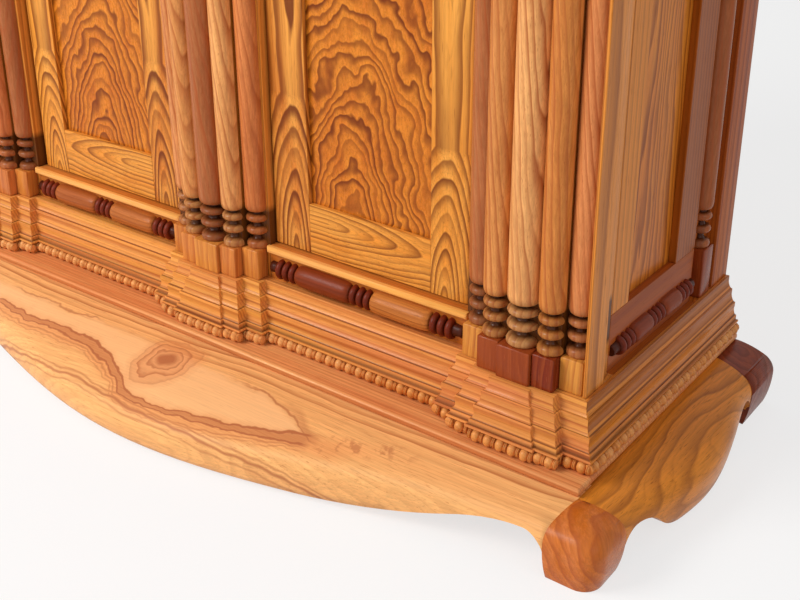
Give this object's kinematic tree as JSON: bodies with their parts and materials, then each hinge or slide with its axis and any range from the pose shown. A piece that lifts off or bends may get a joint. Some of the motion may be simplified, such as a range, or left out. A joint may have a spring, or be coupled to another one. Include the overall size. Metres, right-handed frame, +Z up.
{
  "type": "altar cabinet",
  "caption": "Altar cabinet with pivoting panelled doors between clusters of split turned columns, on a bulging fish-belly stand with kneeling feet.",
  "frame": {"origin": "on the floor, under the middle of the whole cabinet", "axes": "+X to the right seen from the front, -Y to the front, +Z up"},
  "size_m": [1.321, 0.579, 1.07],
  "materials": {
    "door_panel_wood": "polished, bold dark flame grain",
    "door_frame_wood": "polished, bold curved grain",
    "front_apron_wood": "polished, pale with a red-brown heart streak",
    "stand_wood": "polished",
    "dark_wood": "polished dark heartwood",
    "column_wood": "polished",
    "moulding_wood": "polished straight grain",
    "side_wood": "polished",
    "inner_wood": "planed",
    "carcass_wood": "polished",
    "pivot_brass": "turned"
  },
  "bodies": {
    "cabinet": {"apron_front": "front_apron_wood", "apron_left": "stand_wood", "apron_right": "stand_wood", "back_panel": "inner_wood", "base_board": "moulding_wood", "base_moulding_front": "moulding_wood", "base_moulding_left": "moulding_wood", "base_moulding_right": "moulding_wood", "bead_strip_front": "moulding_wood", "bead_strip_left": "moulding_wood", "bead_strip_right": "moulding_wood", "capitals": "column_wood", "columns_large": "column_wood", "columns_side": "column_wood", "columns_small": "column_wood", "cornice_front": "moulding_wood", "cornice_left": "moulding_wood", "cornice_right": "moulding_wood", "floor_panel": "inner_wood", "foot_front_left": "stand_wood", "foot_front_right": "stand_wood", "foot_rear_left": "stand_wood", "foot_rear_right": "stand_wood", "ledges": "carcass_wood", "partition": "inner_wood", "pedestals": "column_wood", "pedestals_side": "column_wood", "post_left": "carcass_wood", "post_middle": "carcass_wood", "post_rear_left": "carcass_wood", "post_rear_right": "carcass_wood", "post_right": "carcass_wood", "rail_lower_left": "carcass_wood", "rail_lower_right": "carcass_wood", "rails_upper": "carcass_wood", "side_panel_left": "side_wood", "side_panel_right": "side_wood", "side_rails_lower": "side_wood", "side_rails_upper": "side_wood", "side_stiles": "side_wood", "spindles_front": "dark_wood", "spindles_side": "dark_wood", "stand_rail_back": "inner_wood", "top_board": "carcass_wood"},
    "door_left": {"door_left_panel": "door_panel_wood", "door_left_rail_bottom": "door_frame_wood", "door_left_rail_top": "door_frame_wood", "door_left_stile_hinge": "door_frame_wood", "door_left_stile_lock": "door_frame_wood", "knob_left": "dark_wood", "pivots_left": "pivot_brass"},
    "door_right": {"door_right_panel": "door_panel_wood", "door_right_rail_bottom": "door_frame_wood", "door_right_rail_top": "door_frame_wood", "door_right_stile_hinge": "door_frame_wood", "door_right_stile_lock": "door_frame_wood", "knob_right": "dark_wood", "pivots_right": "pivot_brass"}
  },
  "joints": [
    {"name": "door_left_hinge", "type": "hinge", "parent": "cabinet", "child": "door_left", "pos_m": [-0.3765, -0.0495, 0.5785], "axis": [0, 0, -1], "range_deg": [0, 95]},
    {"name": "door_right_hinge", "type": "hinge", "parent": "cabinet", "child": "door_right", "pos_m": [0.3765, -0.0495, 0.5785], "axis": [0, 0, 1], "range_deg": [0, 95]}
  ]
}
